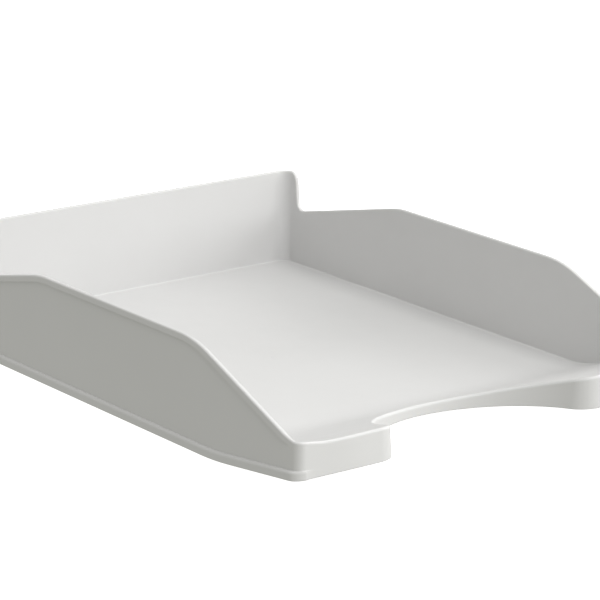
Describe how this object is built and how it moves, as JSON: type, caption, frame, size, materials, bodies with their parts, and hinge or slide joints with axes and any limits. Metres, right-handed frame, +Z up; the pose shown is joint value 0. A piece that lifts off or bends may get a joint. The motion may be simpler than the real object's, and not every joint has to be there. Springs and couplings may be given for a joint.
{
  "type": "letter tray",
  "caption": "Stackable desk letter tray with a flat floor, ramped front lip, bell-shaped grip recess and side walls that slope down to the front and back.",
  "frame": {"origin": "centre of the tray's outline, at desk level, under the pads", "axes": "+X to the right seen from the open front, +Y towards the back wall, +Z up"},
  "size_m": [0.255, 0.337, 0.0621],
  "materials": {
    "tray_plastic": "light grey moulded polystyrene, fine satin grain",
    "pad_rubber": "dark grey anti-slip rubber"
  },
  "bodies": {
    "root": {"tray_body": "tray_plastic", "anti_slip_pad_front_left": "pad_rubber", "anti_slip_pad_front_right": "pad_rubber", "anti_slip_pad_rear_left": "pad_rubber", "anti_slip_pad_rear_right": "pad_rubber"}
  },
  "joints": []
}
